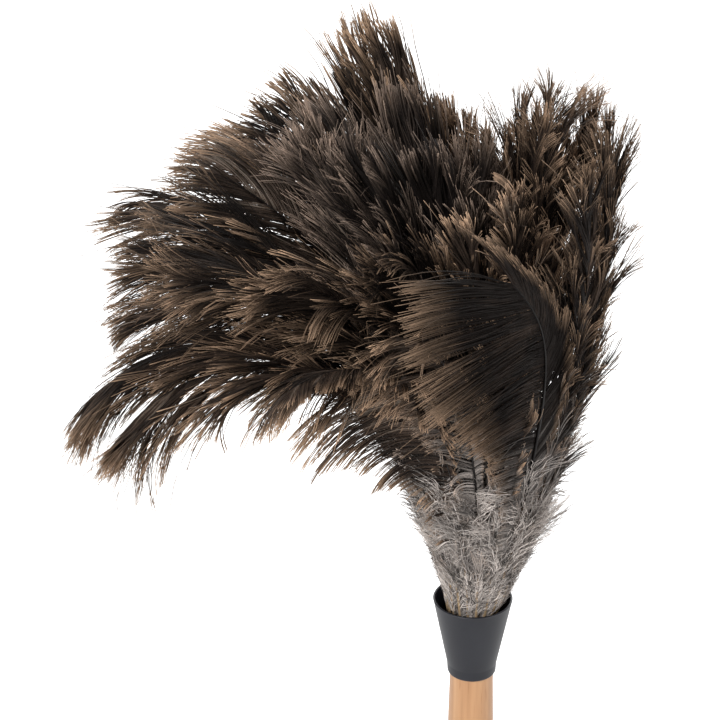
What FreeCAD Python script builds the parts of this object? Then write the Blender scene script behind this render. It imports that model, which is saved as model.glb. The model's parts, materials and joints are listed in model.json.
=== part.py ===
"""Feather duster: turned beech handle, flared ferrule, three bound rings of feathers, leather hanging loop.

Millimetres. +Z runs up the handle towards the feathers, and the origin is the centre of the handle's butt.
The head leans and droops towards -X. Every feather is one solid: a round quill that flattens into a vane.
"""
import FreeCAD, Part
import math
import os

# Driving dimensions of the hard parts
HANDLE_LENGTH = 185.0          # butt to the underside of the ferrule
HANDLE_END_RADIUS = 10.0       # where the handle enters the ferrule
GRIP_RADIUS = 11.5             # fullest part of the grip
BUTT_RADIUS = 10.9
BUTT_ROUNDING = 4.0
GRIP_LOW_SHARE = 0.16          # shares of the handle's length where its outline changes
GRIP_FULL_SHARE = 0.45
GRIP_HIGH_SHARE = 0.78
STRAIGHT_TOP = 6.0             # cylindrical length of the handle just under the ferrule
SPIGOT_CHAMFER = 1.0
FERRULE_HEIGHT = 39.0
FERRULE_RIM_RADIUS = 18.1
FERRULE_WALL = 1.1
FERRULE_FOOT_HEIGHT = 5.0      # the short cylindrical foot, above which the cup flares
FERRULE_FOOT_CLEARANCE = 0.3   # how far the flare starts outside the foot
FOOT_ROUNDING = 0.7            # outer bottom edge of the cup
BORE_CHAMFER = 0.3             # inner bottom edge of the cup
LIP_BEVEL = 0.35               # bevels that round the lip
LIP_SOFTENING = 0.12
INNER_STEP = 2.0               # height over which the seat opens into the flare inside
SEAT_DEPTH = 8.0               # how far the full handle stands inside the ferrule
SPIGOT_RADIUS = 4.95           # thin end of the handle that the quills are bound round
SPIGOT_TOP = 33.0              # above the underside of the ferrule
HANG_HOLE_HEIGHT = 16.0
HANG_HOLE_RADIUS = 2.1
HOLE_OVERRUN = 5.0             # how far the drill passes out of the grip on each side
CORD_RADIUS = 1.5
CORD_LEG_SPREAD = 13.4         # half the width of the hanging loop
CORD_DROP = 40.0               # from the hole to the start of the loop's round end
CORD_BEND = 3.0                # radius with which the cord turns down beside the handle
QUILL_RADIUS = 0.9
WIRE_RADIUS = 0.35
WIRE_GAP = 0.02                # between one turn of wire and the next
BINDING_GAP = 0.04

# One entry per ring of feathers. Heights are above the underside of the ferrule, angles in degrees from +Z
# (lean) or from +X (first_azimuth). Pairs are for the upright +X side and the drooping side of the head.
RINGS = {
    "inner": {
        "count": 12, "first_azimuth": 10.0, "radius": 5.95, "root_low": 10.0, "pivot": 30.0,
        "wire_low": 18.0, "wire_turns": 8, "start_lean": (2.0, 2.0), "end_lean": (6.0, 26.0),
        "lean_power": 1.2, "length": (212.0, 264.0, 228.0), "half_width": 8.0,
        "tuck": 0.0, "curl": 0.0, "peak": 0.12,
    },
    "middle": {
        "count": 16, "first_azimuth": 0.0, "radius": 8.5, "root_low": 12.0, "pivot": 31.0,
        "wire_low": 20.0, "wire_turns": 8, "start_lean": (9.0, 5.5), "end_lean": (9.0, 92.0),
        "lean_power": 1.9, "length": (250.0, 272.0, 212.0), "half_width": 10.0,
        "tuck": 0.0, "curl": 0.15, "peak": 0.10,
    },
    "outer": {
        "count": 20, "first_azimuth": 6.0, "radius": 11.05, "root_low": 21.0, "pivot": 32.0,
        "wire_low": 24.0, "wire_turns": 7, "start_lean": (20.0, 9.0), "end_lean": (-8.0, 172.0),
        "lean_power": 2.3, "length": (241.0, 292.0, 194.0), "half_width": 11.5,
        "tuck": 0.15, "curl": 1.0, "peak": 0.06,
    },
}
LEAN_REFERENCE = 300.0         # distance along a feather at which its end lean is reached
DROOP_AZIMUTH = 208.0          # side towards which the head droops
DROOP_SPREAD = 150.0
FRONT_AZIMUTH = 285.0          # side with the shortest feathers
FRONT_SPREAD = 50.0
FRONT_YIELD = 0.3              # how far the front shortening gives way where the head droops
UNEVEN_LENGTH = 0.025          # share by which lengths vary from feather to feather
UNEVEN_WAVES = 5.0
NOTCH_AZIMUTH = 52.0           # side where the outline dips between two plumes
NOTCH_SPREAD = 44.0
NOTCH_DEPTH = 0.14             # share of the length missing there
PEAK_AZIMUTH = 93.0            # side of the tallest plume
PEAK_SPREAD = 21.0
# Sides where outer feathers stop short beside the lowest plume: azimuth, spread and share of "tuck"
TUCKS = ((179.0, 28.0, 1.0), (240.0, 20.0, 0.85))
CURL_AZIMUTH = 311.0           # side where the outer feathers curl over towards -X and -Y at their ends
CURL_SPREAD = 34.0
CURL_START = 0.44              # shares of the reference length over which they curl
CURL_END = 0.80
CURL_LEAN = 16.0
CURL_TURN = 80.0
SWIRL = 34.0                   # degrees by which feathers drift round towards -X
HEAD_ARC = 13.0                # degrees of arc of the whole head towards -X
HEAD_ARC_LENGTH = 280.0
SPINE_STEPS = 60
SECTION_EVERY = 3              # spine steps from one section of a feather to the next
SECTION_SIDES = 8
SEWING_TOLERANCE = 1e-4
QUILL_SHARE = 0.06             # share of the length that stays a round quill
VANE_RISE_SHARE = 0.45         # share of the length over which the vane widens
VANE_FALL_START = 0.6
VANE_FALL = 0.6
VANE_HALF_THICKNESS = 0.55
TIP_HALF_THICKNESS = 0.3
ROOM_SHARE = 0.36              # share of the distance to the next feather that a vane may reach across
QUILL_NECK_RADIUS = 0.96       # ball at the bottom of each feather, centred on its pivot
ROOT_GAP = 0.06                # between that ball and the root below it

RIM_HEIGHT = HANDLE_LENGTH + FERRULE_HEIGHT
UP = FreeCAD.Vector(0, 0, 1)


def revolve(points):
    """Solid of revolution about Z from (radius, height) points."""
    vectors = [FreeCAD.Vector(r, 0, z) for r, z in points]
    vectors.append(vectors[0])
    face = Part.Face(Part.makePolygon(vectors))
    return face.revolve(FreeCAD.Vector(0, 0, 0), UP, 360)


def save(shape, name):
    shape.exportStep("parts/" + name + ".step")


def make_handle():
    """Turned grip with a slight swell, a thin spigot above it and a cross hole for the cord."""
    straight_start = HANDLE_LENGTH - STRAIGHT_TOP
    grip = [
        (BUTT_RADIUS, BUTT_ROUNDING),
        (BUTT_RADIUS, GRIP_LOW_SHARE * HANDLE_LENGTH),
        (GRIP_RADIUS, GRIP_FULL_SHARE * HANDLE_LENGTH),
        (0.5 * (GRIP_RADIUS + HANDLE_END_RADIUS), GRIP_HIGH_SHARE * HANDLE_LENGTH),
        (HANDLE_END_RADIUS, straight_start),
    ]
    curve = Part.BSplineCurve()
    curve.interpolate([FreeCAD.Vector(r, 0, z) for r, z in grip])
    shoulder = HANDLE_LENGTH + SEAT_DEPTH
    top = HANDLE_LENGTH + SPIGOT_TOP
    diagonal = BUTT_ROUNDING * (1 - math.sqrt(0.5))
    butt_start = FreeCAD.Vector(BUTT_RADIUS - BUTT_ROUNDING, 0, 0)
    butt_middle = FreeCAD.Vector(BUTT_RADIUS - diagonal, 0, diagonal)
    butt_end = FreeCAD.Vector(BUTT_RADIUS, 0, BUTT_ROUNDING)
    rest = [
        FreeCAD.Vector(HANDLE_END_RADIUS, 0, straight_start),
        FreeCAD.Vector(HANDLE_END_RADIUS, 0, shoulder),
        FreeCAD.Vector(SPIGOT_RADIUS, 0, shoulder),
        FreeCAD.Vector(SPIGOT_RADIUS, 0, top - SPIGOT_CHAMFER),
        FreeCAD.Vector(SPIGOT_RADIUS - SPIGOT_CHAMFER, 0, top),
        FreeCAD.Vector(0, 0, top),
        FreeCAD.Vector(0, 0, 0),
        butt_start,
    ]
    edges = [Part.Arc(butt_start, butt_middle, butt_end).toShape(), curve.toShape()]
    edges += [Part.makeLine(a, b) for a, b in zip(rest, rest[1:])]
    solid = Part.Face(Part.Wire(edges)).revolve(FreeCAD.Vector(0, 0, 0), UP, 360)
    half_cut = GRIP_RADIUS + HOLE_OVERRUN
    start = FreeCAD.Vector(-half_cut, 0, HANG_HOLE_HEIGHT)
    hole = Part.makeCylinder(HANG_HOLE_RADIUS, 2 * half_cut, start, FreeCAD.Vector(1, 0, 0))
    return solid.cut(hole)


def ferrule_outer_radius(height):
    """Outside radius of the flared cup at a height above its underside."""
    low = HANDLE_END_RADIUS + FERRULE_WALL + FERRULE_FOOT_CLEARANCE
    rise = (height - FERRULE_FOOT_HEIGHT) / (FERRULE_HEIGHT - FERRULE_FOOT_HEIGHT)
    return low + (FERRULE_RIM_RADIUS - low) * rise


def make_ferrule():
    """Thin flared cup, tight round the handle at the bottom, with a rounded lip."""
    base = HANDLE_LENGTH
    bore = HANDLE_END_RADIUS
    foot = bore + FERRULE_WALL
    seat = base + SEAT_DEPTH
    rim = FERRULE_RIM_RADIUS
    inner_rim = rim - FERRULE_WALL
    diagonal = FOOT_ROUNDING * (1 - math.sqrt(0.5))
    points = [
        (bore, base + BORE_CHAMFER),
        (bore + BORE_CHAMFER, base),
        (foot - FOOT_ROUNDING, base),
        (foot - diagonal, base + diagonal),
        (foot, base + FOOT_ROUNDING),
        (ferrule_outer_radius(FERRULE_FOOT_HEIGHT), base + FERRULE_FOOT_HEIGHT),
        (rim - LIP_SOFTENING, RIM_HEIGHT - 2 * LIP_BEVEL),
        (rim, RIM_HEIGHT - LIP_BEVEL),
        (rim - LIP_SOFTENING, RIM_HEIGHT - LIP_SOFTENING),
        (rim - LIP_BEVEL, RIM_HEIGHT),
        (inner_rim + LIP_BEVEL, RIM_HEIGHT),
        (inner_rim, RIM_HEIGHT - LIP_BEVEL),
        (ferrule_outer_radius(SEAT_DEPTH + INNER_STEP) - FERRULE_WALL, seat + INNER_STEP),
        (bore, seat),
    ]
    return revolve(points)


def make_cord():
    """Leather cord: straight through the hole, down both sides of the handle, round under the butt."""
    spread = CORD_LEG_SPREAD
    bend = CORD_BEND
    z = HANG_HOLE_HEIGHT
    low = z - CORD_DROP
    k = bend * (1 - math.sqrt(0.5))
    places = {
        "left_in": (-spread + bend, z), "left_mid": (-spread + k, z - k), "left_down": (-spread, z - bend),
        "left_low": (-spread, low), "bottom": (0, low - spread), "right_low": (spread, low),
        "right_down": (spread, z - bend), "right_mid": (spread - k, z - k), "right_in": (spread - bend, z),
    }
    at = {name: FreeCAD.Vector(x, 0, height) for name, (x, height) in places.items()}
    path = Part.Wire([
        Part.makeLine(at["right_in"], at["left_in"]),
        Part.Arc(at["left_in"], at["left_mid"], at["left_down"]).toShape(),
        Part.makeLine(at["left_down"], at["left_low"]),
        Part.Arc(at["left_low"], at["bottom"], at["right_low"]).toShape(),
        Part.makeLine(at["right_low"], at["right_down"]),
        Part.Arc(at["right_down"], at["right_mid"], at["right_in"]).toShape(),
    ])
    profile = Part.Wire([Part.makeCircle(CORD_RADIUS, at["right_in"], FreeCAD.Vector(-1, 0, 0))])
    return path.makePipeShell([profile], True, True)


def azimuths(ring):
    """Direction, in radians from +X, of every feather in a ring."""
    first = ring["first_azimuth"]
    return [math.radians(first + 360.0 * k / ring["count"]) for k in range(ring["count"])]


def make_roots(ring):
    """The bound lengths of quill below the pivots, as separate solids standing side by side."""
    low = HANDLE_LENGTH + ring["root_low"]
    high = HANDLE_LENGTH + ring["pivot"] - QUILL_NECK_RADIUS - ROOT_GAP
    solids = []
    for azimuth in azimuths(ring):
        foot = FreeCAD.Vector(ring["radius"] * math.cos(azimuth), ring["radius"] * math.sin(azimuth), low)
        solids.append(Part.makeCylinder(QUILL_RADIUS, high - low, foot, UP))
    return Part.makeCompound(solids)


def make_winding(ring):
    """Binding wire laid round the outside of a ring of quills, as closed turns side by side."""
    radius = ring["radius"] + QUILL_RADIUS + BINDING_GAP + WIRE_RADIUS
    pitch = 2 * WIRE_RADIUS + WIRE_GAP
    turns = []
    for turn in range(ring["wire_turns"]):
        height = HANDLE_LENGTH + ring["wire_low"] + turn * pitch
        turns.append(Part.makeTorus(radius, WIRE_RADIUS, FreeCAD.Vector(0, 0, height), UP))
    return Part.makeCompound(turns)


def nearness(azimuth, centre, spread):
    """1 at the centre direction, falling smoothly to 0 at spread degrees away from it."""
    away = abs((math.degrees(azimuth) - centre + 180.0) % 360.0 - 180.0)
    return 0.5 + 0.5 * math.cos(math.pi * min(away / spread, 1.0))


def feather_length(ring, azimuth):
    """Length of a feather, with an uneven outline round the head."""
    upright, drooping, front = ring["length"]
    droop = nearness(azimuth, DROOP_AZIMUTH, DROOP_SPREAD)
    facing = nearness(azimuth, FRONT_AZIMUTH, FRONT_SPREAD)
    length = upright + (drooping - upright) * droop + (front - upright) * facing * (1 - FRONT_YIELD * droop)
    length *= 1.0 - NOTCH_DEPTH * nearness(azimuth, NOTCH_AZIMUTH, NOTCH_SPREAD)
    length *= 1.0 + ring["peak"] * nearness(azimuth, PEAK_AZIMUTH, PEAK_SPREAD)
    for tuck_azimuth, tuck_spread, depth in TUCKS:
        length *= 1.0 - ring["tuck"] * depth * nearness(azimuth, tuck_azimuth, tuck_spread)
    return length * (1.0 + UNEVEN_LENGTH * math.sin(UNEVEN_WAVES * azimuth + ring["radius"]))


def arc_head(point):
    """Bends space so that the axis of the head arcs towards -X above the rim."""
    height = point.z - RIM_HEIGHT
    if height <= 0:
        return point
    angle = math.radians(HEAD_ARC) * height / HEAD_ARC_LENGTH
    radius = HEAD_ARC_LENGTH / math.radians(HEAD_ARC)
    x = -radius * (1 - math.cos(angle)) + point.x * math.cos(angle)
    z = RIM_HEIGHT + radius * math.sin(angle) + point.x * math.sin(angle)
    return FreeCAD.Vector(x, point.y, z)


def spine(ring, azimuth, length):
    """Evenly spaced points along the middle of a feather, from its pivot to its tip."""
    droop = nearness(azimuth, DROOP_AZIMUTH, DROOP_SPREAD)
    start = ring["start_lean"][0] + (ring["start_lean"][1] - ring["start_lean"][0]) * droop
    end = ring["end_lean"][0] + (ring["end_lean"][1] - ring["end_lean"][0]) * droop
    curl = ring["curl"] * nearness(azimuth, CURL_AZIMUTH, CURL_SPREAD)
    height = HANDLE_LENGTH + ring["pivot"]
    point = FreeCAD.Vector(ring["radius"] * math.cos(azimuth), ring["radius"] * math.sin(azimuth), height)
    points = [arc_head(point)]
    step = length / SPINE_STEPS
    for k in range(SPINE_STEPS):
        along = (k + 0.5) * step / LEAN_REFERENCE
        curled = curl * min(max((along - CURL_START) / (CURL_END - CURL_START), 0.0), 1.0)
        lean = math.radians(start + (end - start) * along ** ring["lean_power"] + CURL_LEAN * curled)
        heading = azimuth + math.radians(SWIRL) * math.sin(azimuth) * along - math.radians(CURL_TURN) * curled
        across = math.sin(lean)
        point = point + FreeCAD.Vector(
            across * math.cos(heading), across * math.sin(heading), math.cos(lean)) * step
        points.append(arc_head(point))
    return points


def section_corners(centre, along, across, half_width, half_thickness):
    """Corners of a flat many-sided section square to the spine, wide across the vane."""
    normal = along.cross(across).normalize()
    across = normal.cross(along).normalize()
    corners = []
    for k in range(SECTION_SIDES):
        turn = 2 * math.pi * k / SECTION_SIDES
        sideways = across * (half_width * math.cos(turn))
        outward = normal * (half_thickness * math.sin(turn))
        corners.append(centre + sideways + outward)
    return corners


def tube(sections):
    """Solid of long smooth strips, one for each side of the sections, closed flat at both ends."""
    degree = 3
    spans = len(sections) - degree
    along_mults = [degree + 1] + [1] * (spans - 1) + [degree + 1]
    along_knots = [float(k) for k in range(spans + 1)]
    faces = []
    for side in range(SECTION_SIDES):
        following = (side + 1) % SECTION_SIDES
        poles = [[corners[side], corners[following]] for corners in sections]
        strip = Part.BSplineSurface()
        strip.buildFromPolesMultsKnots(
            poles, along_mults, [2, 2], along_knots, [0.0, 1.0], False, False, degree, 1)
        faces.append(strip.toShape())
    for corners in (sections[0], sections[-1]):
        faces.append(Part.Face(Part.makePolygon(corners + corners[:1])))
    skin = Part.makeCompound(faces)
    skin.sewShape()
    solid = Part.Solid(skin.Shells[0])
    solid.fix(SEWING_TOLERANCE, SEWING_TOLERANCE, SEWING_TOLERANCE)
    return solid


def vane_half_width(place, widest):
    """Half the width of a feather at a share of its length from the pivot."""
    if place <= QUILL_SHARE:
        return QUILL_RADIUS
    rise = min((place - QUILL_SHARE) / VANE_RISE_SHARE, 1.0)
    fall = max((place - VANE_FALL_START) / (1 - VANE_FALL_START), 0.0)
    share = math.sin(0.5 * math.pi * rise) * (1 - VANE_FALL * fall ** 2)
    return QUILL_RADIUS + (widest - QUILL_RADIUS) * share


def make_feather(ring, index):
    """One feather, from its round quill through the flat vane to a blunt tip."""
    azimuth = azimuths(ring)[index]
    spacing = 2 * math.pi / ring["count"]
    length = feather_length(ring, azimuth)
    middle = spine(ring, azimuth, length)
    before = spine(ring, azimuth - spacing, length)
    after = spine(ring, azimuth + spacing, length)
    sections = []
    for k in range(0, SPINE_STEPS + 1, SECTION_EVERY):
        low, high = max(k - 1, 0), min(k + 1, SPINE_STEPS)
        place = k / SPINE_STEPS
        along = (middle[high] - middle[low]).normalize()
        across = (after[k] - before[k]).normalize()
        room = ROOM_SHARE * min((after[k] - middle[k]).Length, (before[k] - middle[k]).Length)
        half_width = max(min(vane_half_width(place, ring["half_width"]), room), TIP_HALF_THICKNESS)
        half_thickness = VANE_HALF_THICKNESS + (TIP_HALF_THICKNESS - VANE_HALF_THICKNESS) * place
        if place <= QUILL_SHARE:
            half_thickness = QUILL_RADIUS
        sections.append(section_corners(middle[k], along, across, half_width, half_thickness))
    neck = Part.makeSphere(QUILL_NECK_RADIUS, middle[0])
    return tube(sections).fuse(neck)


def main():
    os.makedirs("parts", exist_ok=True)
    save(make_handle(), "handle")
    save(make_ferrule(), "ferrule")
    save(make_cord(), "hanging_loop")
    for ring_name, ring in RINGS.items():
        save(make_roots(ring), "quill_roots_" + ring_name)
        save(make_winding(ring), "binding_wire_" + ring_name)
        for index in range(ring["count"]):
            save(make_feather(ring, index), "feather_%s_%02d" % (ring_name, index + 1))


main()
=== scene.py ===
"""Feather duster: soft feathers grown barb by barb along the CAD feathers, with finishes for the rest."""
import heapq
import json
import math

import bpy
import numpy as np
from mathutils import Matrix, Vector


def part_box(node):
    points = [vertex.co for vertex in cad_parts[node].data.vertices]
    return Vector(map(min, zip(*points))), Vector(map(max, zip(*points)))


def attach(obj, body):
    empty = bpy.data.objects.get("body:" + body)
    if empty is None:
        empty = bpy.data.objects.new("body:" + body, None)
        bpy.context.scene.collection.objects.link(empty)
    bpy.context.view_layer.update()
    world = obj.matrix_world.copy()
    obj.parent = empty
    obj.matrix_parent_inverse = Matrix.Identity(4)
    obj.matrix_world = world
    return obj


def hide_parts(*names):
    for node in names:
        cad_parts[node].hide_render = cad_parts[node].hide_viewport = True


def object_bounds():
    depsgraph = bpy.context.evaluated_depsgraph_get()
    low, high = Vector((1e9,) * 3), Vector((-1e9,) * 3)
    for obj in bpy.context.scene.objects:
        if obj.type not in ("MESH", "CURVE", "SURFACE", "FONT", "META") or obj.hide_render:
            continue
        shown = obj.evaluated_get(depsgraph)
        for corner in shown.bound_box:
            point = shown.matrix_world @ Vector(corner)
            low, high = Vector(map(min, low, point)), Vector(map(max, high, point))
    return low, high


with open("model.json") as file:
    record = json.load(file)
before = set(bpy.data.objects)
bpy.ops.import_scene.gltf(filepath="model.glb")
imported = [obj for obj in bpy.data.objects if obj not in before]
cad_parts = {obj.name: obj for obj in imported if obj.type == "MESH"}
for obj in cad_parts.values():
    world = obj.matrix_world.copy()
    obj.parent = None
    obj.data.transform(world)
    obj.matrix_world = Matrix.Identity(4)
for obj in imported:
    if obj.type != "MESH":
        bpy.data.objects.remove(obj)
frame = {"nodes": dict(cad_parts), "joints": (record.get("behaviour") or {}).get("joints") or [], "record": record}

SIZE_AT_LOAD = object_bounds()
CAD_LOW, CAD_HIGH = (np.array(corner, dtype=float) for corner in SIZE_AT_LOAD)
STAND_PROUD = 0.025 * (CAD_HIGH - CAD_LOW) + 0.008       # how far the soft barbs may pass the CAD feathers
OUTLINE = (CAD_LOW - STAND_PROUD, CAD_HIGH + STAND_PROUD)
RINGS = ("inner", "middle", "outer")
SEED = 4127
SEED_STEP = 100                # between the seeds of one ring and the next
DETAIL = 1.0
MM = 0.001
FULL_TURN = 6.28

# What every feather's style holds unless its ring or the feather itself says otherwise. In any style,
# lengths are in metres and angles in degrees from the shaft, and a pair gives the barbs on the feather's
# left side first, seen from outside with the tip up.
COMMON_STYLE = {
    "lift": 4.0,               # degrees by which the barbs lean outward
    "curl": -0.05,             # lean gained towards a barb's end, in radians; below 0 it curls inward
    "calm": 1.0,               # how far the barbs wander; small for a combed look
    "tufting": 0.5,            # how strongly the barbs gather into tufts towards their ends
    "late": 0.0,               # share of the feather by which its full barbs start later
    "tip_brush": 0.024,        # how far the barbs pass the shaft's end
    "tip_reach": 1.0,          # length of the barbs near the tip against the others
    "pale": 0.0,               # added to the tone of every barb
    "even": 0.0,               # how far the barbs share one tone
    "grey_until": 0.46,        # share of the feather where its grey foot ends
    "shaft": 1.0,              # how bold the shaft is
}

# How each ring of feathers differs. "barbs" counts one side, and "sag" is how strongly their ends hang down.
RING_STYLE = {
    "inner": {"barbs": 340, "longest": 0.058, "root_angle": 38.0, "tip_angle": 10.0, "sag": 0.20},
    "middle": {"barbs": 400, "longest": 0.064, "root_angle": 42.0, "tip_angle": 11.0, "sag": 0.30},
    "outer": {"barbs": 420, "longest": 0.064, "root_angle": 46.0, "tip_angle": 12.0, "sag": 0.35},
}

# Feathers that stand out in the head, and how each differs from its ring.
FEATHER_STYLE = {
    "feather_outer_18": {"barbs": 880, "longest": (0.084, 0.034), "root_angle": (54.0, 38.0),
                         "tip_angle": (60.0, 14.0), "sag": (0.55, 0.10), "calm": 0.12, "lift": (17.0, 2.0),
                         "curl": (-0.50, 0.0), "tufting": 0.15, "even": 0.60, "pale": -0.17, "shaft": 2.8,
                         "tip_brush": 0.060, "late": (0.16, 0.0)},
    "feather_outer_17": {"longest": 0.028, "root_angle": 50.0, "tip_angle": 16.0, "sag": 0.10, "lift": 20.0,
                         "curl": -0.7, "pale": 0.10, "late": 0.08, "grey_until": 0.45, "tip_reach": 0.5},
    "feather_outer_16": {"longest": (0.064, 0.030), "root_angle": (58.0, 50.0), "tip_angle": 34.0,
                         "sag": 0.85, "lift": -3.0, "late": (0.24, 0.28), "grey_until": 0.62},
    "feather_outer_15": {"longest": (0.086, 0.040), "root_angle": (84.0, 58.0), "tip_angle": (78.0, 38.0),
                         "sag": (1.40, 1.30), "pale": 0.12, "late": (0.10, 0.22), "grey_until": 0.28,
                         "barbs": 660, "tip_reach": 0.30},
    "feather_outer_14": {"longest": (0.052, 0.056), "root_angle": (36.0, 44.0), "sag": (0.20, 0.45),
                         "pale": 0.15, "late": 0.05, "tip_reach": 0.6},
    "feather_outer_13": {"longest": (0.060, 0.066), "root_angle": (30.0, 34.0), "sag": 0.20, "barbs": 680,
                         "pale": 0.12, "late": 0.06},
    "feather_outer_12": {"longest": (0.058, 0.062), "root_angle": (26.0, 30.0), "sag": 0.20, "barbs": 720,
                         "pale": -0.05, "calm": 0.5},
    "feather_outer_11": {"longest": 0.052, "root_angle": 32.0, "sag": 0.40, "barbs": 600, "pale": -0.05,
                         "tip_brush": 0.014},
    "feather_outer_10": {"longest": 0.050, "root_angle": 38.0, "sag": 0.50, "pale": -0.12,
                         "tip_brush": 0.016},
    "feather_outer_09": {"longest": 0.054, "root_angle": 40.0, "sag": 0.50, "pale": -0.06},
    "feather_outer_08": {"longest": 0.052, "root_angle": 42.0, "sag": 0.55, "pale": 0.04,
                         "tip_brush": 0.016},
    "feather_outer_07": {"longest": 0.052, "root_angle": 40.0, "sag": 0.55, "pale": -0.06,
                         "tip_brush": 0.016},
    "feather_outer_06": {"longest": 0.062, "root_angle": 30.0, "tip_angle": 5.0, "sag": 0.2, "pale": 0.08},
    "feather_outer_05": {"longest": 0.044, "root_angle": 24.0, "tip_angle": 6.0, "sag": 0.15,
                         "tip_brush": 0.018},
    "feather_outer_02": {"longest": (0.050, 0.036), "root_angle": 28.0, "tip_angle": 6.0, "sag": 0.12},
    "feather_outer_01": {"longest": (0.052, 0.034), "root_angle": 28.0, "tip_angle": 6.0, "sag": 0.10},
    "feather_outer_20": {"longest": (0.050, 0.036), "root_angle": 30.0, "tip_angle": 8.0, "sag": 0.10,
                         "barbs": 520, "pale": -0.08},
    "feather_outer_19": {"longest": (0.046, 0.034), "root_angle": 32.0, "tip_angle": 10.0, "sag": 0.10,
                         "barbs": 600, "pale": -0.16},
    "feather_middle_04": {"longest": 0.044, "root_angle": 26.0, "tip_angle": 6.0, "tip_brush": 0.016},
    "feather_middle_05": {"longest": 0.062, "root_angle": 30.0, "tip_angle": 4.0, "sag": 0.2, "pale": 0.14},
    "feather_middle_06": {"longest": 0.056, "root_angle": 34.0, "tip_angle": 6.0, "pale": -0.25},
    "feather_middle_07": {"longest": 0.052, "root_angle": 38.0, "sag": 0.50, "tip_brush": 0.016,
                         "pale": -0.10},
    "feather_middle_08": {"longest": 0.056, "sag": 0.50, "pale": 0.25},
    "feather_middle_09": {"pale": -0.10},
    "feather_middle_10": {"longest": 0.054, "root_angle": 38.0, "pale": -0.06},
    "feather_middle_12": {"pale": 0.02},
    # feather_middle_13's strongly negative pale is painted shade: it darkens this feather in the hollow at the
    # head's centre, where the feathers shade each other.
    "feather_middle_13": {"longest": 0.050, "lift": -8.0, "pale": -0.28},
    "feather_middle_14": {"longest": 0.032, "root_angle": 34.0, "lift": -10.0, "pale": 0.22},
    "feather_middle_15": {"longest": 0.040, "root_angle": 34.0, "pale": 0.10},
    "feather_middle_16": {"longest": 0.044, "root_angle": 34.0},
    "feather_inner_06": {"pale": 0.05},
    "feather_inner_08": {"pale": 0.18},
    # The strongly negative pale of feather_inner_09 and feather_inner_10 is painted shade for the dark hollow at
    # the head's centre, where the feathers shade each other.
    "feather_inner_09": {"pale": -0.25},
    "feather_inner_10": {"pale": -0.25},
    "feather_inner_11": {"pale": -0.05},
}

# Barbs
BARB_STEPS = 9
BARB_WIDTH = 0.00031
BARB_THICKNESS = 0.8           # of a strand, against half its width
FIRST_BARB = 0.17              # share of the feather where the barbs start
FOOT_CROWDING = 0.92           # below 1, barbs thin out towards the foot
GROWN_AT = ([0.1, 0.22, 0.38, 0.58, 1.0], [0.14, 0.26, 0.62, 1.0, 1.0])   # places, and lengths there
TIP_FADE = (0.55, 0.85)        # where the barbs pass from full length to their length near the tip
CLOSING = (0.55, 0.95)         # where the barbs start to close towards the tip, and where they are closed
ROOT_CLOSING = 0.55
TIP_CLOSING = 0.8
ANGLE_POWER = 0.7              # below 1, a barb turns mostly near its root
CURL_POWER = 1.8               # above 1, a barb keeps its curl for its end
SAG_POWER = 1.5
TUFT_POWER = 2.2               # above 1, a tuft gathers only near its end
BEND_SHARE = 0.9               # how closely the barbs follow the bend of their shaft
TUFT_SIZE = (2, 8)             # barbs in one tuft
LOCK_SIZE = (14, 40)           # barbs in one lock, a wider group that wanders together
GREY_FROM = 0.16
GREY_CHANGE = 0.045

# How barbs differ: "row" is a smooth change along the feather, the others are spreads between locks, tufts
# and single barbs. Lengths are shares of the full length, the others radians.
LENGTH_CHANGE = {"row": 0.05, "lock": 0.04, "tuft": 0.03, "barb": 0.05}
ANGLE_CHANGE = {"row": 0.10, "lock": 0.05, "barb": 0.03}
LIFT_CHANGE = {"row": 0.13, "lock": 0.10}
TIP_CHANGE = {"lock": 0.08, "tuft": 0.07}
CURL_CHANGE = {"lock": 0.30, "tuft": 0.24, "barb": 0.05}
ROW_WAVES = (1.3, 2.7, 5.5)
TONE_SHARE = {"lock": 0.35, "tuft": 0.30, "barb": 0.35}

# Strays: single barbs that leave their tuft
STRAY_SHARE = 0.05
STRAY_LENGTH = (1.0, 1.35)
STRAY_ANGLE = 0.15
STRAY_CURL = 0.4
STRAY_WIDTH = 0.7

# Down
DOWN_STEPS = 9
DOWN_WIDTH = 0.00020
DOWN_STRANDS = {"inner": 180, "middle": 460, "outer": 1000}
DOWN_TUFT = 14                 # strands of down in one tuft
DOWN_FROM = 0.002              # metres above the quill's binding
DOWN_UNTIL = 0.074
DOWN_CROWDING = 1.2            # above 1, the down is thicker near the foot
DOWN_REACH = (0.003, 0.024)
BROWN_TUFTS = 0.16             # share of the tufts of down that are half brown

# Shafts
SHAFT_END = 0.93               # share of the CAD feather that the shaft runs to
SHAFT_SIDES = 6
SHAFT_ROOT = 0.85 * MM
SHAFT_TIP = 0.22 * MM
BOLD_OFFSET = 0.4 * MM         # how far a bold shaft stands out, for each unit of boldness above 1

# Centre lines
SPINE_POINTS = 81
SURFACE_SAMPLES = 5000
ANCHORS = 400                  # samples put on the pivot, so that the line starts there
LINE_DEGREE = 6
LINE_POINTS = 400
SLICE_STEP = 0.05
SLICE_DEPTH = 0.07
FEWEST_SAMPLES = 12
VANE = (0.3, 0.95)             # share of a feather where its flat vane shows which way is sideways

# Feather colours
BLACK = (0.010, 0.0068, 0.0055)
BROWN = (0.057, 0.0385, 0.0285)
TIP = (0.78, 0.52, 0.34)
GREY = (0.46, 0.415, 0.385)
PALEST = (0.22, 0.175, 0.14)
QUILL = (0.42, 0.30, 0.18)
QUILL_NECK = (0.12, 0.075, 0.045)
SHAFT = (0.006, 0.004, 0.0035)

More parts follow.
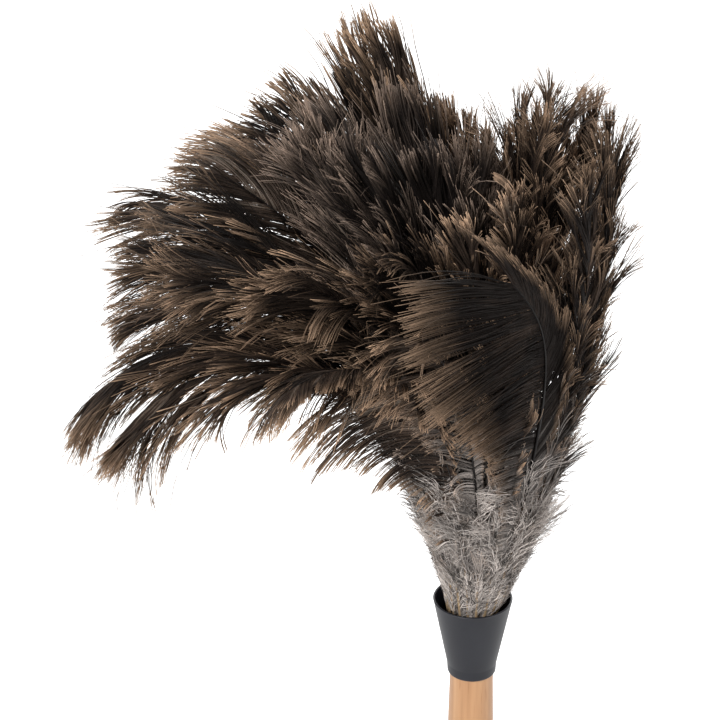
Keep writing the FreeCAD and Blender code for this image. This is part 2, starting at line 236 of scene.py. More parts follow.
# Studio: each light's name, place, size and power
WORLD_LIGHT = 0.45
FLOOR_GLOW = 0.62
FLOOR_REACH = 12.0
FLOOR_GAP = 0.002
LIGHTS = (
    ("key", (-0.9, -1.3, 1.3), (0.8, 0.8), 27.0),
    ("fill", (1.2, -0.9, 0.7), (0.9, 1.2), 6.0),
    ("back", (0.5, 1.3, 1.2), (1.0, 0.8), 18.0),
)

# Camera
VIEW_ELEVATION = 28.0
VIEW_WIDTH = 0.3273            # metres across the picture at the object
CAMERA_DISTANCE = 1.5
SENSOR = 36.0
AIM_ASIDE = -0.0513            # from the centre of the ferrule's rim to the middle of the picture
AIM_UP = 0.1077


# ---------------------------------------------------------------- reading the CAD feathers

def mesh_arrays(node):
    """Vertices with doubles joined, and triangles, of a CAD node."""
    mesh = frame["nodes"][node].data
    points = np.zeros(len(mesh.vertices) * 3)
    mesh.vertices.foreach_get("co", points)
    points = points.reshape(-1, 3)
    mesh.calc_loop_triangles()
    corners = np.zeros(len(mesh.loop_triangles) * 3, dtype=np.int64)
    mesh.loop_triangles.foreach_get("vertices", corners)
    unique, where = np.unique(np.round(points, 7), axis=0, return_inverse=True)
    return unique, where.reshape(-1)[corners].reshape(-1, 3)


def walking_distance(points, triangles, start):
    """Distance over the mesh edges from the vertex nearest to start, for every vertex."""
    neighbours = [[] for _ in points]
    for a, b, c in triangles:
        for p, q in ((a, b), (b, c), (c, a)):
            gap = float(np.linalg.norm(points[p] - points[q]))
            neighbours[p].append((int(q), gap))
            neighbours[q].append((int(p), gap))
    first = int(np.argmin(np.linalg.norm(points - start, axis=1)))
    distance = np.full(len(points), np.inf)
    distance[first] = 0.0
    queue = [(0.0, first)]
    while queue:
        reached, p = heapq.heappop(queue)
        if reached > distance[p]:
            continue
        for q, gap in neighbours[p]:
            if reached + gap < distance[q]:
                distance[q] = reached + gap
                heapq.heappush(queue, (distance[q], q))
    return distance


def unit(vectors):
    return vectors / np.maximum(np.linalg.norm(vectors, axis=-1, keepdims=True), 1e-12)


def sample_surface(points, triangles, distance, rng):
    """Random points on the feather, and how far along it each lies, from 0 to 1."""
    a, b, c = (points[triangles[:, k]] for k in range(3))
    area = np.linalg.norm(np.cross(b - a, c - a), axis=1)
    picks = rng.choice(len(triangles), SURFACE_SAMPLES, p=area / area.sum())
    u, v = rng.random(SURFACE_SAMPLES), rng.random(SURFACE_SAMPLES)
    flip = u + v > 1
    u, v = np.where(flip, 1 - u, u), np.where(flip, 1 - v, v)
    weights = np.stack([1 - u - v, u, v], axis=1)
    chosen = triangles[picks]
    samples = (points[chosen] * weights[:, :, None]).sum(axis=1)
    along = (distance[chosen] * weights).sum(axis=1)
    return samples, along / along.max()


def on_line(line, places):
    return np.polynomial.polynomial.polyval(places, line).T


def fit_centre_line(samples, along, pivot):
    """Smooth line through the samples that starts at the pivot, its evenly spaced places and its length."""
    fit_at = np.concatenate([along, np.zeros(ANCHORS)])
    fit_to = np.concatenate([samples, np.repeat(pivot[None], ANCHORS, axis=0)])
    line = np.polynomial.polynomial.polyfit(fit_at, fit_to, LINE_DEGREE)
    dense_at = np.linspace(0, 1, LINE_POINTS)
    dense = on_line(line, dense_at)
    travelled = np.concatenate([[0], np.cumsum(np.linalg.norm(np.diff(dense, axis=0), axis=1))])
    even = np.interp(np.linspace(0, travelled[-1], SPINE_POINTS), travelled, dense_at)
    return line, even, travelled[-1]


def fit_across(samples, along, line, even):
    """Direction across the vane at each place, from the widest spread of the samples slice by slice."""
    places, sides = [], []
    for low in np.arange(VANE[0], 0.92, SLICE_STEP):
        inside = (along >= low) & (along < low + SLICE_DEPTH)
        if inside.sum() < FEWEST_SAMPLES:
            continue
        away = samples[inside] - on_line(line, along[inside])
        widest = np.linalg.svd(away - away.mean(axis=0), full_matrices=False)[2][0]
        if sides and np.dot(widest, sides[-1]) < 0:
            widest = -widest
        places.append(low + 0.5 * SLICE_DEPTH)
        sides.append(widest)
    across_line = np.polynomial.polynomial.polyfit(places, np.array(sides), 2)
    return on_line(across_line, np.clip(even, *VANE))


def read_spine(node, pivot, rng):
    """Evenly spaced centre line of a CAD feather with its forward, sideways and outward directions."""
    points, triangles = mesh_arrays(node)
    distance = walking_distance(points, triangles, pivot)
    triangles = triangles[np.isfinite(distance[triangles]).all(axis=1)]
    samples, along = sample_surface(points, triangles, distance, rng)
    line, even, length = fit_centre_line(samples, along, pivot)
    centre = on_line(line, even)
    forward = unit(np.gradient(centre, axis=0))
    across = fit_across(samples, along, line, even)
    across = unit(across - forward * (across * forward).sum(axis=1, keepdims=True))
    outward = np.cross(forward, across)
    k = SPINE_POINTS * 2 // 5
    level = np.array([1, 1, 0])
    radial = centre[k] * level - pivot * level * 0.2
    if np.dot(outward[k], radial) < 0:
        across, outward = -across, -outward
    return {"centre": centre, "forward": forward, "across": across, "outward": outward, "length": length}


def at(spine, key, place):
    """Value of a spine quantity at shares of its length."""
    grid = np.linspace(0, 1, SPINE_POINTS)
    values = spine[key]
    return np.stack([np.interp(place, grid, values[:, k]) for k in range(3)], axis=1)


# ---------------------------------------------------------------- growing strands

def grow(spine, start, side, length, root_angle, tip_angle, root_lift, tip_lift, sag, wave, steps):
    """Paths of many barbs at once, bending with the shaft, and the outward direction at each barb's root.

    Angles are in radians. A path has steps + 1 points.
    """
    path = [at(spine, "centre", start)]
    step = (length / steps)[:, None]
    swing, turns, phase = wave
    for k in range(steps):
        t = (k + 0.5) / steps
        angle = root_angle + (tip_angle - root_angle) * t ** ANGLE_POWER
        beside = np.minimum(start + BEND_SHARE * t * length * np.cos(angle) / spine["length"], 1.0)
        forward, across, outward = (at(spine, key, beside) for key in ("forward", "across", "outward"))
        across = across * side[:, None]
        angle = angle[:, None]
        lift = (root_lift + (tip_lift - root_lift) * t ** CURL_POWER)[:, None]
        heading = forward * np.cos(angle) + across * np.sin(angle)
        heading = heading * np.cos(lift) + outward * np.sin(lift)
        wobble = (swing * np.sin(2 * np.pi * turns * t + phase))[:, None]
        heading = unit(heading) + wobble * (0.6 * outward + 0.5 * across)
        heading[:, 2] -= sag * t ** SAG_POWER
        path.append(path[-1] + unit(heading) * step)
    return keep_in(np.stack(path, axis=1)), at(spine, "outward", start)


def keep_in(paths):
    """Shortens the strands that would reach past the head's allowed outline."""
    root = paths[:, :1]
    away = paths - root
    room = np.where(away > 0, OUTLINE[1] - root, OUTLINE[0] - root)
    moved = np.abs(away) > 1e-6
    share = np.where(moved, room / np.where(moved, away, 1.0), 9.0)
    share = np.clip(share.min(axis=(1, 2)), 0.05, 1.0)
    return root + away * share[:, None, None]


def strands(paths, flat_normal, half_width, tip_share, steps):
    """Vertices and faces of closed three-sided strands along the paths."""
    count = len(paths)
    heading = unit(np.gradient(paths, axis=1))
    normal = flat_normal[:, None, :] - heading * (heading * flat_normal[:, None, :]).sum(-1, keepdims=True)
    normal = unit(normal)
    sideways = np.cross(normal, heading)
    t = np.linspace(0, 1, steps + 1)
    swell = np.interp(t, [0, 0.15, 0.7, 1.0], [0.7, 1.0, 0.9, tip_share])
    wide = (half_width[:, None] * swell[None])[:, :, None]
    ridge = paths + normal * wide * BARB_THICKNESS
    ring = np.stack([paths - sideways * wide, paths + sideways * wide, ridge], axis=2)
    vertices = ring.reshape(-1, 3)
    base = (np.arange(count) * (steps + 1) * 3)[:, None, None]
    level = (np.arange(steps) * 3)[None, :, None]
    corner = np.arange(3)[None, None, :]
    following = (corner + 1) % 3
    quads = np.stack([base + level + corner, base + level + following,
                      base + level + 3 + following, base + level + 3 + corner], axis=-1).reshape(-1, 4)
    first = np.arange(count)[:, None] * (steps + 1) * 3
    caps = np.concatenate([first + np.array([[2, 1, 0]]), first + steps * 3 + np.array([[0, 1, 2]])])
    return vertices, quads, caps


def per_vertex(values, steps):
    return np.repeat(values, (steps + 1) * 3)


class Pile:
    """Collects strands, with the quantities their material reads, into one mesh.

    A vertex's "strand" attribute holds its place along the strand, the strand's place along the feather, its
    tone and how downy it is. The chart lays the strands out side by side along the feather for the bake.
    """

    def __init__(self):
        self.vertices, self.quads, self.caps, self.colour, self.chart = [], [], [], [], []
        self.count = 0

    def add(self, vertices, quads, caps, colour, chart):
        self.vertices.append(vertices)
        self.quads.append(quads + self.count)
        self.caps.append(caps + self.count)
        self.colour.append(colour)
        self.chart.append(chart)
        self.count += len(vertices)

    def add_strands(self, paths, normal, half_width, tip_share, steps, place, tone, down, chart_u,
                    chart_side):
        vertices, quads, caps = strands(paths, normal, half_width, tip_share, steps)
        along = np.tile(np.repeat(np.linspace(0, 1, steps + 1), 3), len(paths))
        colour = np.stack([along, *(per_vertex(values, steps) for values in (place, tone, down))], 1)
        nudge = np.tile(np.array([-0.0008, 0.0008, 0.0]), len(paths) * (steps + 1))
        u = per_vertex(chart_u, steps) + nudge
        v = 0.5 + per_vertex(chart_side, steps) * (0.02 + 0.46 * along)
        self.add(vertices, quads, caps, colour, np.stack([u, v], 1))

    def build(self, name):
        vertices = np.concatenate(self.vertices)
        quads, caps = np.concatenate(self.quads), np.concatenate(self.caps)
        corners = np.concatenate([quads.reshape(-1), caps.reshape(-1)]).astype(np.int32)
        starts = np.concatenate([np.arange(len(quads)) * 4, len(quads) * 4 + np.arange(len(caps)) * 3])
        mesh = bpy.data.meshes.new(name)
        mesh.vertices.add(len(vertices))
        mesh.vertices.foreach_set("co", vertices.astype(np.float32).reshape(-1))
        mesh.loops.add(len(corners))
        mesh.loops.foreach_set("vertex_index", corners)
        mesh.polygons.add(len(starts))
        mesh.polygons.foreach_set("loop_start", starts.astype(np.int32))
        mesh.update(calc_edges=True)
        mesh.polygons.foreach_set("use_smooth", np.ones(len(starts), dtype=bool))
        colour = mesh.attributes.new("strand", "FLOAT_COLOR", "POINT")
        colour.data.foreach_set("color", np.concatenate(self.colour).astype(np.float32).reshape(-1))
        chart = mesh.uv_layers.new(name="OFBake")
        spread = np.concatenate(self.chart)[corners].astype(np.float32)
        chart.data.foreach_set("uv", np.clip(spread, 0.001, 0.999).reshape(-1))
        mesh.validate()
        piece = bpy.data.objects.new(name, mesh)
        bpy.context.scene.collection.objects.link(piece)
        return piece


def clumps(start, side, rng, size):
    """Index of the tuft each barb belongs to: runs of neighbours on the same side."""
    order = np.lexsort((start, side))
    tuft = np.zeros(len(start), dtype=int)
    k = 0
    number = 0
    while k < len(order):
        run = int(rng.integers(size[0], size[1]))
        tuft[order[k:k + run]] = number
        number += 1
        k += run
    return tuft, number


def pick(value, side):
    """A style value for each barb: the same everywhere, or one for each side of the feather."""
    if isinstance(value, tuple):
        return np.where(side > 0, value[0], value[1])
    return np.full(len(side), float(value))


def drift(start, side, rng, swing):
    """Smooth random change along each row of barbs."""
    total = np.zeros(len(start))
    for waves in ROW_WAVES:
        phase = rng.uniform(0, FULL_TURN, 2)
        row = np.where(side > 0, phase[0], phase[1])
        total += swing * rng.uniform(0.4, 1.0) * np.sin(2 * np.pi * waves * start + row) / math.sqrt(waves)
    return total


def add_shaft(pile, spine, bold):
    """The quill and shaft: a tapering tube from the pivot to the shaft's end. A bold one stays thick."""
    keep = int(SPINE_POINTS * SHAFT_END)
    centre, across, outward = (spine[key][:keep] for key in ("centre", "across", "outward"))
    share = np.linspace(0, 1, keep)
    radius = SHAFT_ROOT + (SHAFT_TIP - SHAFT_ROOT) * share ** (0.8 * bold)
    centre = centre + outward * (BOLD_OFFSET * (bold - 1.0) * np.sin(np.pi * share))[:, None]
    turn = np.linspace(0, 2 * np.pi, SHAFT_SIDES, endpoint=False)
    ring = (centre[:, None] + radius[:, None, None] * (np.cos(turn)[None, :, None] * across[:, None]
            + np.sin(turn)[None, :, None] * outward[:, None]))
    vertices = ring.reshape(-1, 3)
    level = (np.arange(keep - 1) * SHAFT_SIDES)[:, None]
    corner = np.arange(SHAFT_SIDES)[None]
    following = (corner + 1) % SHAFT_SIDES
    above = level + SHAFT_SIDES
    quads = np.stack([level + corner, level + following, above + following, above + corner], -1)
    bottom = np.array([[0, k + 1, k] for k in range(1, SHAFT_SIDES - 1)])
    top = (keep - 1) * SHAFT_SIDES + np.array([[0, k, k + 1] for k in range(1, SHAFT_SIDES - 1)])
    place = np.repeat(share * SHAFT_END, SHAFT_SIDES)
    mark = np.full(len(place), -1.0)
    colour = np.stack([mark, place, np.full(len(place), 0.5), np.zeros(len(place))], 1)
    chart = np.stack([0.25 + 0.74 * place, 0.5 + 0.015 * np.tile(np.cos(turn), keep)], 1)
    pile.add(vertices, quads.reshape(-1, 4), np.concatenate([bottom, top]), colour, chart)


class Barbs:
    """Both rows of a feather's barbs: where each starts, its side, and the tuft and lock it belongs to."""

    def __init__(self, style, rng):
        self.count = int(style["barbs"] * 2 * DETAIL)
        self.start = FIRST_BARB + (SHAFT_END - FIRST_BARB) * rng.random(self.count) ** FOOT_CROWDING
        self.side = np.where(rng.random(self.count) < 0.5, -1.0, 1.0)
        self.tuft, self.tufts = clumps(self.start, self.side, rng, TUFT_SIZE)
        self.lock, self.locks = clumps(self.start, self.side, rng, LOCK_SIZE)

    def by_lock(self, middle, spread, rng):
        return rng.normal(middle, spread, self.locks)[self.lock]

    def by_tuft(self, middle, spread, rng):
        return rng.normal(middle, spread, self.tufts)[self.tuft]

    def by_row(self, swing, rng):
        return drift(self.start, self.side, rng, swing)


def barb_lengths(barbs, spine, style, rng):
    room = (SHAFT_END - barbs.start) * spine["length"] + style["tip_brush"]
    grown = np.interp(barbs.start - pick(style["late"], barbs.side), *GROWN_AT)
    fading = np.interp(barbs.start, TIP_FADE, [1.0, style["tip_reach"]])
    reach = np.minimum(pick(style["longest"], barbs.side) * grown * fading, room)
    reach = reach * (1 + barbs.by_row(LENGTH_CHANGE["row"], rng))
    reach = reach * barbs.by_lock(1.0, LENGTH_CHANGE["lock"], rng)
    return reach * barbs.by_tuft(1.0, LENGTH_CHANGE["tuft"], rng)


def barb_angles(barbs, style, rng):
    """Angle from the shaft at the root and the end of each barb, its lean, and the lean it gains."""
    calm = style["calm"]
    near_tip = np.interp(barbs.start, CLOSING, [0, 1])
    angle_drift = barbs.by_row(ANGLE_CHANGE["row"], rng) + barbs.by_lock(0.0, ANGLE_CHANGE["lock"], rng)
    lift_drift = barbs.by_row(LIFT_CHANGE["row"], rng) + barbs.by_lock(0.0, LIFT_CHANGE["lock"], rng)
    angle_drift, lift_drift = calm * angle_drift, calm * lift_drift
    root = np.radians(pick(style["root_angle"], barbs.side)) * (1 - ROOT_CLOSING * near_tip) + angle_drift
    tip = np.radians(pick(style["tip_angle"], barbs.side)) * (1 - TIP_CLOSING * near_tip) + angle_drift * 0.6
    tip_drift = barbs.by_lock(0.0, TIP_CHANGE["lock"], rng) + barbs.by_tuft(0.0, TIP_CHANGE["tuft"], rng)
    lift = np.radians(pick(style["lift"], barbs.side)) + lift_drift
    curl_drift = barbs.by_lock(0.0, CURL_CHANGE["lock"], rng) + barbs.by_tuft(0.0, CURL_CHANGE["tuft"], rng)
    curl = pick(style["curl"], barbs.side) + min(calm, 1.0) * curl_drift
    return root, tip + math.sqrt(calm) * tip_drift, lift, curl


def gather(paths, barbs, stray, style, rng):
    """Pulls the barbs of each tuft together towards their ends, and leaves the strays where they are."""
    centres = np.zeros((barbs.tufts,) + paths.shape[1:])
    np.add.at(centres, barbs.tuft, paths)
    centres /= np.maximum(np.bincount(barbs.tuft, minlength=barbs.tufts), 1)[:, None, None]
    t = np.linspace(0, 1, BARB_STEPS + 1)[None, :, None]
    pull = rng.uniform(0.0, style["tufting"], barbs.tufts)[barbs.tuft]
    pull = np.where(stray, 0.0, pull)[:, None, None]
    return paths + (centres[barbs.tuft] - paths) * pull * t ** TUFT_POWER


def barb_tones(barbs, style, rng):
    tone = (TONE_SHARE["lock"] * rng.random(barbs.locks)[barbs.lock]
            + TONE_SHARE["tuft"] * rng.random(barbs.tufts)[barbs.tuft]
            + TONE_SHARE["barb"] * rng.random(barbs.count))
    tone = tone * (1 - style["even"]) + 0.5 * style["even"]
    return np.clip(tone + style["pale"], 0.0, 1.0)


def add_barbs(pile, spine, style, rng):
    """Both rows of long barbs: combed side by side, parting into small tufts towards their ends."""
    barbs = Barbs(style, rng)
    count = barbs.count
    reach = barb_lengths(barbs, spine, style, rng)
    root, tip, lift, curl = barb_angles(barbs, style, rng)
    stray = rng.random(count) < STRAY_SHARE
    longer = reach * rng.uniform(*STRAY_LENGTH, count)
    reach = np.where(stray, longer, reach * rng.normal(1.0, LENGTH_CHANGE["barb"], count))
    root = root + rng.normal(0, ANGLE_CHANGE["barb"], count)
    root = root + np.where(stray, rng.normal(0, STRAY_ANGLE, count), 0)
    curl = curl + rng.normal(0, CURL_CHANGE["barb"], count)
    curl = curl + np.where(stray, rng.normal(0, STRAY_CURL, count), 0)
    swing = np.abs(rng.normal(0, 0.06, count))
    wave = (swing, rng.uniform(0.8, 1.8, count), rng.uniform(0, FULL_TURN, count))
    sag = pick(style["sag"], barbs.side)
    paths, normal = grow(spine, barbs.start, barbs.side, reach, root, tip, lift, lift + curl, sag, wave,
                         BARB_STEPS)
    paths = gather(paths, barbs, stray, style, rng)
    tone = barb_tones(barbs, style, rng)
    half = BARB_WIDTH * rng.uniform(0.65, 1.2, count) * np.where(stray, STRAY_WIDTH, 1.0) / math.sqrt(DETAIL)
    grey_place = barbs.start + barbs.by_tuft(0.0, GREY_CHANGE, rng)
    down = np.interp(grey_place, [GREY_FROM, style["grey_until"]], [1.0, 0.0])
    chart_u = 0.25 + 0.74 * barbs.start
    pile.add_strands(paths, normal, half, 0.5, BARB_STEPS, barbs.start, tone, down, chart_u, barbs.side)


def add_down(pile, spine, style, rng):
    """Soft wavy down in loose tufts round the foot of the feather, shorter and flatter near the rim."""
    count = int(style["down_strands"] * DETAIL)
    tufts = max(count // DOWN_TUFT, 1)
    tuft = rng.integers(0, tufts, count)
    high = DOWN_UNTIL * rng.uniform(0.80, 1.30)
    tuft_place = rng.random(tufts) ** DOWN_CROWDING
    share = np.clip(tuft_place[tuft] + rng.normal(0, 0.035, count), 0, 1)
    start = (DOWN_FROM + (high - DOWN_FROM) * share) / spine["length"]
    side = np.where(rng.random(tufts) < 0.5, -1.0, 1.0)[tuft]
    reach = 0.006 + 0.013 * share ** 0.6
    reach = reach * rng.normal(1.0, 0.2, tufts)[tuft] * rng.normal(1.0, 0.15, count)
    reach = reach.clip(*DOWN_REACH)
    free = 0.15 + 0.85 * share
    root = np.radians(rng.uniform(5, 65, tufts)[tuft]) * (0.4 + 0.6 * share) + rng.normal(0, 0.25, count)
    tip = root * 0.4 + rng.normal(0, 0.5, tufts)[tuft] + rng.normal(0, 0.25, count)
    lift = (rng.normal(0.12, 0.42, tufts)[tuft] + rng.normal(0, 0.15, count)) * free
    turn = lift * 0.3 + rng.normal(0, 0.5, tufts)[tuft] * free
    swing = rng.uniform(0.10, 0.45, count)
    waves = rng.uniform(1.0, 2.4, count)
    phase = rng.uniform(0, FULL_TURN, tufts)[tuft] + rng.normal(0, 0.8, count)
    sag = 0.10 * share
    paths, normal = grow(spine, start, side, reach, root, tip, lift, turn, sag, (swing, waves, phase),
                         DOWN_STEPS)
    half = DOWN_WIDTH * rng.uniform(0.6, 1.2, count) / math.sqrt(DETAIL)
    tone = np.clip(0.70 * rng.random(tufts)[tuft] + 0.30 * rng.random(count), 0, 1)
    down = np.where(rng.random(tufts) < BROWN_TUFTS, 0.5, 1.0)[tuft]
    pile.add_strands(paths, normal, half, 0.35, DOWN_STEPS, start, tone, down, 0.24 * share, side)


# ---------------------------------------------------------------- materials

def new_material(name):
    material = bpy.data.materials.new(name)
    material.use_nodes = True
    nodes = material.node_tree.nodes
    nodes.clear()
    output = nodes.new("ShaderNodeOutputMaterial")
    shader = nodes.new("ShaderNodeBsdfPrincipled")
    material.node_tree.links.new(shader.outputs[0], output.inputs[0])
    return material, nodes, material.node_tree.links, shader


def math_node(nodes, links, kind, a, b):
    node = nodes.new("ShaderNodeMath")
    node.operation = kind
    for socket, value in zip(node.inputs, (a, b)):
        if isinstance(value, (int, float)):
            socket.default_value = value
        else:
            links.new(value, socket)
    return node.outputs[0]


def ramp(nodes, links, factor, stops):
    node = nodes.new("ShaderNodeValToRGB")
    elements = node.color_ramp.elements
    while len(elements) < len(stops):
        elements.new(0.5)
    for element, (position, colour) in zip(elements, stops):
        element.position = position
        element.color = (*colour, 1.0)
    links.new(factor, node.inputs[0])
    return node.outputs[0]


def mix_colour(nodes, links, factor, a, b, kind="MIX"):
    node = nodes.new("ShaderNodeMix")
    node.data_type = "RGBA"
    node.blend_type = kind
    for socket, value in ((node.inputs[0], factor), (node.inputs[6], a), (node.inputs[7], b)):
        if isinstance(value, (int, float)):
            socket.default_value = value
        elif isinstance(value, tuple):
            socket.default_value = (*value, 1.0)
        else:
            links.new(value, socket)
    return node.outputs[2]


def noise(nodes, links, scale, detail, stretch=(1, 1, 1)):
    where = nodes.new("ShaderNodeTexCoord")
    mapping = nodes.new("ShaderNodeMapping")
    mapping.inputs["Scale"].default_value = stretch
    links.new(where.outputs["Object"], mapping.inputs[0])
    node = nodes.new("ShaderNodeTexNoise")
    node.inputs["Scale"].default_value = scale
    node.inputs["Detail"].default_value = detail
    links.new(mapping.outputs[0], node.inputs["Vector"])
    return node.outputs["Fac"]


def add_bump(nodes, links, shader, height, strength, distance):
    bump = nodes.new("ShaderNodeBump")
    bump.inputs["Strength"].default_value = strength
    bump.inputs["Distance"].default_value = distance
    links.new(height, bump.inputs["Height"])
    links.new(bump.outputs[0], shader.inputs["Normal"])


def times(colour, factor):
    return tuple(factor * part for part in colour)


def barb_colour(nodes, links, along, tone, dark, brown, tip, tip_amount):
    """Dark to brown by tone, unevenly in broad patches, and paler at the ends of the paler barbs."""
    patch = noise(nodes, links, 28.0, 3.0)
    uneven = math_node(nodes, links, "ADD", tone, math_node(nodes, links, "SUBTRACT", patch, 0.5))
    body = ramp(nodes, links, uneven,
                ((0.32, dark), (0.68, brown), (0.88, times(brown, 2.0)), (1.0, PALEST)))
    end = ramp(nodes, links, along, ((0.66, (0, 0, 0)), (0.86, (0.42, 0.42, 0.42)), (1.0, (1, 1, 1))))
    end = math_node(nodes, links, "MULTIPLY", end, math_node(nodes, links, "MULTIPLY", tone, tip_amount))
    return mix_colour(nodes, links, end, body, tip)


def feather_material(name, dark, brown, tip, tip_amount):
    """Dark barbs with paler ends, over grey down at the foot, with a horn quill and a black shaft."""
    material, nodes, links, shader = new_material(name)
    strand = nodes.new("ShaderNodeAttribute")
    strand.attribute_name = "strand"
    split = nodes.new("ShaderNodeSeparateColor")
    links.new(strand.outputs["Color"], split.inputs[0])
    along, place, tone = split.outputs[0], split.outputs[1], split.outputs[2]
    down = math_node(nodes, links, "MINIMUM", strand.outputs["Alpha"], 1.0)
    fleck = noise(nodes, links, 900.0, 2.0)
    coloured = barb_colour(nodes, links, along, tone, dark, brown, tip, tip_amount)
    downy = ramp(nodes, links, tone, ((0.05, times(GREY, 0.13)), (0.45, GREY), (0.85, times(GREY, 1.85))))
    coloured = mix_colour(nodes, links, down, coloured, downy)
    shaft = math_node(nodes, links, "LESS_THAN", along, -0.5)
    quill = ramp(nodes, links, place, ((0.05, QUILL), (0.22, QUILL_NECK), (0.36, SHAFT)))
    coloured = mix_colour(nodes, links, shaft, coloured, quill)
    shade = math_node(nodes, links, "ADD", math_node(nodes, links, "MULTIPLY", fleck, 0.9), 0.55)
    coloured = mix_colour(nodes, links, 1.0, coloured, shade, "MULTIPLY")
    links.new(coloured, shader.inputs["Base Color"])
    rough = math_node(nodes, links, "ADD", math_node(nodes, links, "MULTIPLY", fleck, 0.25), 0.5)
    rough = math_node(nodes, links, "SUBTRACT", rough, math_node(nodes, links, "MULTIPLY", shaft, 0.22))
    links.new(rough, shader.inputs["Roughness"])
    shine = math_node(nodes, links, "ADD", math_node(nodes, links, "MULTIPLY", shaft, 0.06), 0.14)
    links.new(shine, shader.inputs["Specular IOR Level"])
    add_bump(nodes, links, shader, fleck, 0.5, 0.0003)
    return material


def wood_material():
    """Lacquered beech: long vertical grain, short dark flecks, slight tone changes."""
    material, nodes, links, shader = new_material("beech_wood")
    grain = noise(nodes, links, 260.0, 6.0, (1, 1, 0.035))
    flecks = noise(nodes, links, 700.0, 2.0, (1, 1, 0.09))
    broad = noise(nodes, links, 30.0, 3.0, (1, 1, 0.12))
    colour = ramp(nodes, links, grain, ((0.3, (0.42, 0.21, 0.095)), (0.55, (0.55, 0.295, 0.14)),
                                       (0.8, (0.65, 0.385, 0.205))))
    fleck = ramp(nodes, links, flecks, ((0.60, (1, 1, 1)), (0.74, (0.84, 0.76, 0.68))))
    colour = mix_colour(nodes, links, 1.0, colour, fleck, "MULTIPLY")
    tone = ramp(nodes, links, broad, ((0.3, (0.86, 0.84, 0.80)), (0.7, (1.05, 1.05, 1.05))))
    colour = mix_colour(nodes, links, 1.0, colour, tone, "MULTIPLY")
    links.new(colour, shader.inputs["Base Color"])
    rough = math_node(nodes, links, "ADD", math_node(nodes, links, "MULTIPLY", grain, 0.2), 0.33)
    links.new(rough, shader.inputs["Roughness"])
    shader.inputs["Coat Weight"].default_value = 0.25
    shader.inputs["Coat Roughness"].default_value = 0.3
    add_bump(nodes, links, shader, grain, 0.25, 0.0002)
    return material


def ferrule_material():
    """Dark satin moulded cup with faint turning marks and mottled gloss."""
    material, nodes, links, shader = new_material("ferrule_satin")
    rings = noise(nodes, links, 240.0, 3.0, (0.08, 0.08, 6.0))
    grit = noise(nodes, links, 1500.0, 2.0)
    smudge = noise(nodes, links, 60.0, 3.0)
    colour = ramp(nodes, links, smudge, ((0.3, (0.011, 0.0115, 0.016)), (0.7, (0.017, 0.018, 0.024))))
    links.new(colour, shader.inputs["Base Color"])
    rough = math_node(nodes, links, "ADD", math_node(nodes, links, "MULTIPLY", smudge, 0.18), 0.30)
    links.new(rough, shader.inputs["Roughness"])
    shader.inputs["Specular IOR Level"].default_value = 0.35
    height = math_node(nodes, links, "ADD", math_node(nodes, links, "MULTIPLY", rings, 0.6),
                       math_node(nodes, links, "MULTIPLY", grit, 0.4))
    add_bump(nodes, links, shader, height, 0.08, 0.0002)
    return material


def plain_material(name, dark, light, scale, stretch, roughness, metallic):
    """Two-tone grained finish for the small parts."""
    material, nodes, links, shader = new_material(name)
    grain = noise(nodes, links, scale, 5.0, stretch)
    links.new(ramp(nodes, links, grain, ((0.3, dark), (0.7, light))), shader.inputs["Base Color"])
    rough = math_node(nodes, links, "ADD", math_node(nodes, links, "MULTIPLY", grain, 0.25), roughness)
    links.new(rough, shader.inputs["Roughness"])
    shader.inputs["Metallic"].default_value = metallic
    add_bump(nodes, links, shader, grain, 0.3, 0.0002)
    return material


def paint(node, material):
    slots = frame["nodes"][node].data.materials
    slots.clear()
    slots.append(material)


# ---------------------------------------------------------------- the object

def feather_nodes(ring):
    return sorted(n for n in frame["nodes"] if n.startswith("feather_" + ring))


def make_feather(node, joint, body, material, style, rng):
    pivot = np.array(joint["pos_m"], dtype=float)
    spine = read_spine(node, pivot, rng)
    pile = Pile()
    add_shaft(pile, spine, style["shaft"])
    add_barbs(pile, spine, style, rng)
    add_down(pile, spine, style, rng)
    piece = pile.build("plume_" + node[len("feather_"):])
    piece.data.materials.append(material)
    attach(piece, body)
    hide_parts(node)


def feather_materials():
    return {
        "outer": feather_material("feather_outer_barbs", BLACK, BROWN, TIP, 1.0),
        "middle": feather_material("feather_middle_barbs", BLACK, (0.053, 0.037, 0.028), TIP, 0.9),
        "inner": feather_material("feather_inner_barbs", (0.012, 0.009, 0.008), (0.060, 0.045, 0.037),
                                  (0.60, 0.44, 0.34), 0.9),
    }


def make_head():
    body_of_node = {n: b for b, nodes in frame["record"]["behaviour"]["bodies"].items() for n in nodes}
    joint_of_body = {j["child"]: j for j in frame["joints"]}
    materials = feather_materials()
    for number, ring in enumerate(RINGS):
        for index, node in enumerate(feather_nodes(ring)):
            rng = np.random.default_rng(SEED + SEED_STEP * number + index)
            body = body_of_node[node]
            style = {**COMMON_STYLE, "down_strands": DOWN_STRANDS[ring], **RING_STYLE[ring],
                     **FEATHER_STYLE.get(node, {})}
            make_feather(node, joint_of_body[body], body, materials[ring], style, rng)


def finish_hard_parts():
    paint("handle", wood_material())
    paint("ferrule", ferrule_material())
    paint("hanging_loop", plain_material("cord_leather", (0.07, 0.032, 0.016), (0.15, 0.075, 0.04), 900.0,
                                         (1, 1, 1), 0.45, 0.0))
    horn = plain_material("quill_horn", (0.36, 0.26, 0.15), (0.55, 0.43, 0.28), 300.0, (1, 1, 0.1),
                          0.35, 0.0)
    wire = plain_material("binding_wire", (0.20, 0.19, 0.18), (0.42, 0.41, 0.39), 500.0, (1, 1, 8),
                          0.25, 1.0)
    for ring in RINGS:
        paint("quill_roots_" + ring, horn)
        paint("binding_wire_" + ring, wire)


# ---------------------------------------------------------------- studio

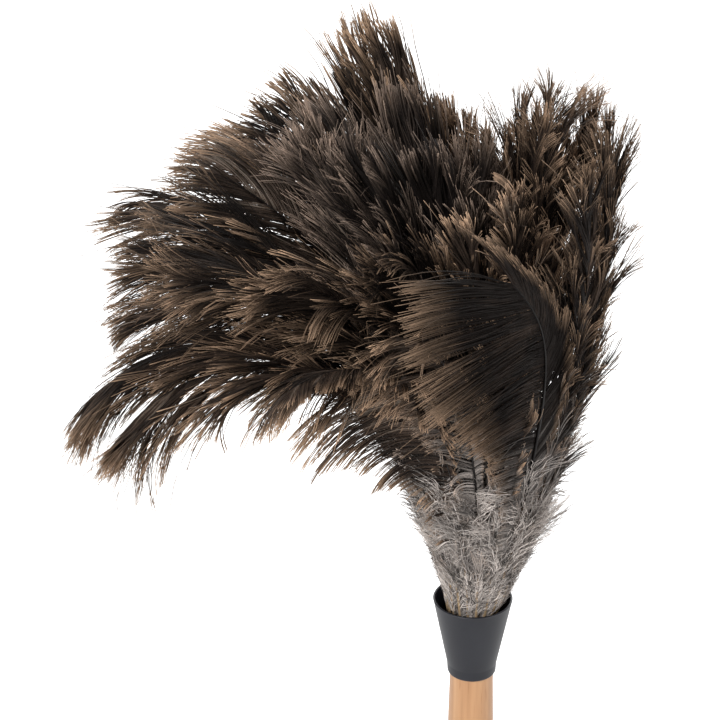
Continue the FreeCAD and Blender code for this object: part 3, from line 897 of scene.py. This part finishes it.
def area_light(name, place, target, size, power):
    data = bpy.data.lights.new(name, "AREA")
    data.shape = "RECTANGLE"
    data.size, data.size_y = size
    data.energy = power
    light = bpy.data.objects.new(name, data)
    light.location = place
    light.rotation_euler = (Vector(target) - Vector(place)).to_track_quat("-Z", "Y").to_euler()
    bpy.context.scene.collection.objects.link(light)


def make_world():
    """Even white light, seen by the camera as pure white."""
    world = bpy.data.worlds.new("studio")
    world.use_nodes = True
    bpy.context.scene.world = world
    nodes, links = world.node_tree.nodes, world.node_tree.links
    background = nodes["Background"]
    background.inputs[0].default_value = (1.0, 1.0, 1.0, 1.0)
    ray = nodes.new("ShaderNodeLightPath")
    seen = math_node(nodes, links, "MULTIPLY", ray.outputs["Is Camera Ray"], 1.0 - WORLD_LIGHT)
    links.new(math_node(nodes, links, "ADD", seen, WORLD_LIGHT), background.inputs[1])


def make_floor(z):
    mesh = bpy.data.meshes.new("floor")
    corners = [(x, y, z) for x, y in ((-1, -1), (1, -1), (1, 1), (-1, 1))]
    mesh.from_pydata([(FLOOR_REACH * x, FLOOR_REACH * y, height) for x, y, height in corners], [],
                     [(0, 1, 2, 3)])
    floor = bpy.data.objects.new("floor", mesh)
    bpy.context.scene.collection.objects.link(floor)
    material, nodes, links, shader = new_material("floor_white")
    shader.inputs["Base Color"].default_value = (0.93, 0.93, 0.93, 1.0)
    shader.inputs["Roughness"].default_value = 0.9
    shader.inputs["Specular IOR Level"].default_value = 0.1
    shader.inputs["Emission Color"].default_value = (1.0, 1.0, 1.0, 1.0)
    ray = nodes.new("ShaderNodeLightPath")
    glow = math_node(nodes, links, "MULTIPLY", ray.outputs["Is Camera Ray"], FLOOR_GLOW)
    links.new(glow, shader.inputs["Emission Strength"])
    floor.data.materials.append(material)


def make_studio():
    low, high = SIZE_AT_LOAD
    make_world()
    make_floor(low[2] - FLOOR_GAP)
    middle = (0.5 * (low[0] + high[0]), 0.0, 0.6 * high[2])
    for name, place, size, power in LIGHTS:
        area_light(name, place, middle, size, power)


def make_camera():
    ferrule_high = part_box("ferrule")[1]
    rim = Vector((0.0, 0.0, ferrule_high[2]))
    elevation = math.radians(VIEW_ELEVATION)
    away = Vector((0.0, -math.cos(elevation), math.sin(elevation)))
    up = Vector((0.0, math.sin(elevation), math.cos(elevation)))
    data = bpy.data.cameras.new("camera")
    data.sensor_width = SENSOR
    data.lens = SENSOR * CAMERA_DISTANCE / VIEW_WIDTH
    camera = bpy.data.objects.new("camera", data)
    camera.location = rim + Vector((AIM_ASIDE, 0.0, 0.0)) + up * AIM_UP + away * CAMERA_DISTANCE
    camera.rotation_euler = (-away).to_track_quat("-Z", "Y").to_euler()
    bpy.context.scene.collection.objects.link(camera)
    bpy.context.scene.camera = camera


make_head()
finish_hard_parts()
make_studio()
make_camera()
bpy.context.scene.view_settings.view_transform = "Standard"
